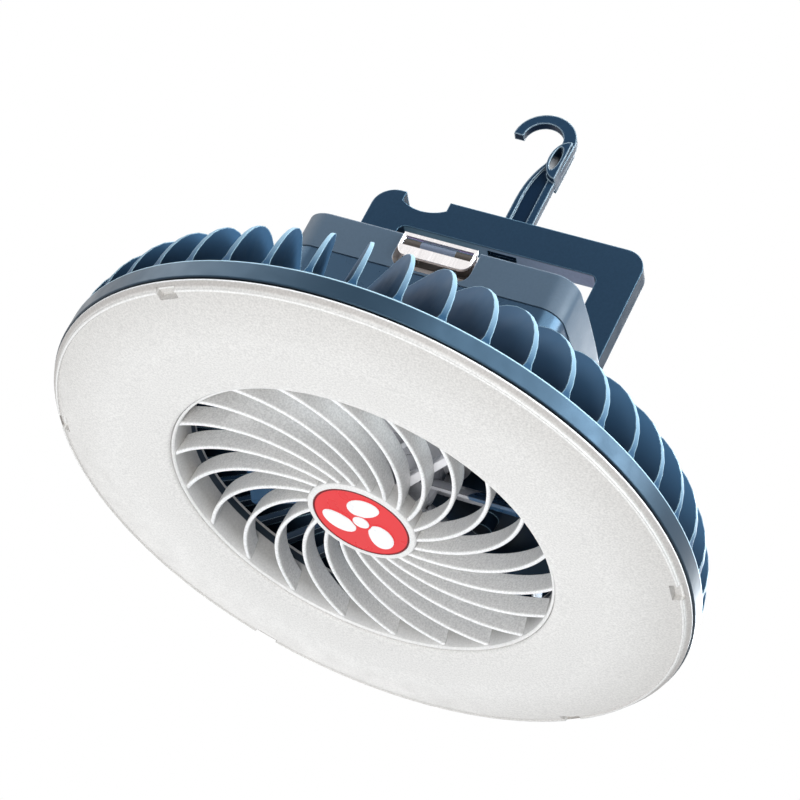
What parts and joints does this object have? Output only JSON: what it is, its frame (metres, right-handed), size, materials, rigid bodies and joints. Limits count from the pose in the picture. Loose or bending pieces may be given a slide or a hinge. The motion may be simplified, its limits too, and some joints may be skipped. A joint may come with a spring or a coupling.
{
  "type": "portable camping fan",
  "caption": "Hanging camping fan with a light ring, swirl grille and swept fins, a battery box behind, a folding handle with pull-out hook, a chrome latch and push buttons.",
  "frame": {"origin": "centre of the round light head, on the plane that the crown of the light ring rests on", "axes": "+Z from the light ring's front up through the battery box to the hook; X along the battery box's long edge and the handle's hinge; -Y toward the side with the latch"},
  "size_m": [0.2, 0.2, 0.1589],
  "materials": {
    "diffuser": "opal, fine frosted grain",
    "grille_white": "satin moulded plastic",
    "badge_red": "glossy insert",
    "housing_blue": "satin moulded plastic",
    "board_white": "white solder mask on aluminium",
    "chip_yellow": "phosphor over a white package",
    "baffle_dark": "matt",
    "rotor_navy": "satin",
    "steel": "fine satin",
    "core_iron": "laminated, matt",
    "copper": "varnished copper wire",
    "bronze": "sintered, matt",
    "bracket_white": "satin moulded plastic",
    "screw_steel": "zinc plated",
    "base_dark": "fine grain",
    "cover_grey": "fine grain",
    "cell_wrap": "shrink wrap",
    "circuit_green": "solder mask",
    "switch_black": "matt",
    "flap_rubber": "soft matt",
    "button_dark": "soft matt",
    "lens_clear": "frosted",
    "latch_chrome": "mirror polished",
    "handle_slate": "fine grain",
    "fin_blue": "satin moulded plastic",
    "vane_white": "satin moulded plastic",
    "bracket_dark": "matt",
    "roller_grey": "satin"
  },
  "bodies": {
    "housing": {"diffuser_ring": "diffuser", "front_grille": "grille_white", "hub_badge": "badge_red", "rear_housing": "housing_blue", "led_board": "board_white", "led_chips": "chip_yellow", "air_baffle": "baffle_dark", "motor_stator": "core_iron", "stator_coils": "copper", "shaft_bush": "bronze", "motor_bracket": "bracket_white", "bracket_screws": "screw_steel", "box_base": "base_dark", "base_screws": "screw_steel", "box_cover": "cover_grey", "box_screws": "screw_steel", "battery_cells": "cell_wrap", "control_board": "circuit_green", "board_screws": "screw_steel", "tact_switches": "switch_black", "charge_socket": "steel", "status_lens": "lens_clear", "latch_pin": "screw_steel", "handle_pin": "screw_steel", "swept_fins": "fin_blue", "grille_hub": "grille_white", "swirl_vanes": "vane_white", "latch_bracket": "bracket_dark", "latch_roller": "roller_grey"},
    "impeller": {"fan_rotor": "rotor_navy", "motor_bell": "steel", "motor_shaft": "steel", "shaft_clip": "steel"},
    "handle": {"handle_frame": "handle_slate"},
    "hook": {"pullout_hook": "handle_slate"},
    "latch": {"latch_leaf": "latch_chrome"},
    "fan_key": {"fan_button": "button_dark"},
    "light_key": {"light_button": "button_dark"},
    "flap": {"port_flap": "flap_rubber"}
  },
  "joints": [
    {"name": "fan_spin", "type": "hinge", "parent": "housing", "child": "impeller", "pos_m": [0, 0, 0.022], "axis": [0, 0, 1], "continuous": true},
    {"name": "handle_fold", "type": "hinge", "parent": "housing", "child": "handle", "pos_m": [0, 0, 0.0763], "axis": [1, 0, 0], "range_deg": [0, 90]},
    {"name": "hook_slide", "type": "slide", "parent": "handle", "child": "hook", "axis": [0, 0, 1], "range_m": [-0.018, 0]},
    {"name": "latch_flip", "type": "hinge", "parent": "housing", "child": "latch", "pos_m": [0.0002, -0.0428, 0.06955], "axis": [1, 0, 0], "range_deg": [-95, 0]},
    {"name": "fan_button_press", "type": "slide", "parent": "housing", "child": "fan_key", "axis": [0, 0, -1], "range_m": [0, 0.0008], "stiffness_N_per_m": 400, "springref_m": -0.001},
    {"name": "light_button_press", "type": "slide", "parent": "housing", "child": "light_key", "axis": [0, 0, -1], "range_m": [0, 0.0008], "stiffness_N_per_m": 400, "springref_m": -0.001},
    {"name": "port_flap_open", "type": "hinge", "parent": "housing", "child": "flap", "pos_m": [-0.009, 0.0443, 0.0642], "axis": [0, 0, 1], "range_deg": [0, 110]}
  ]
}
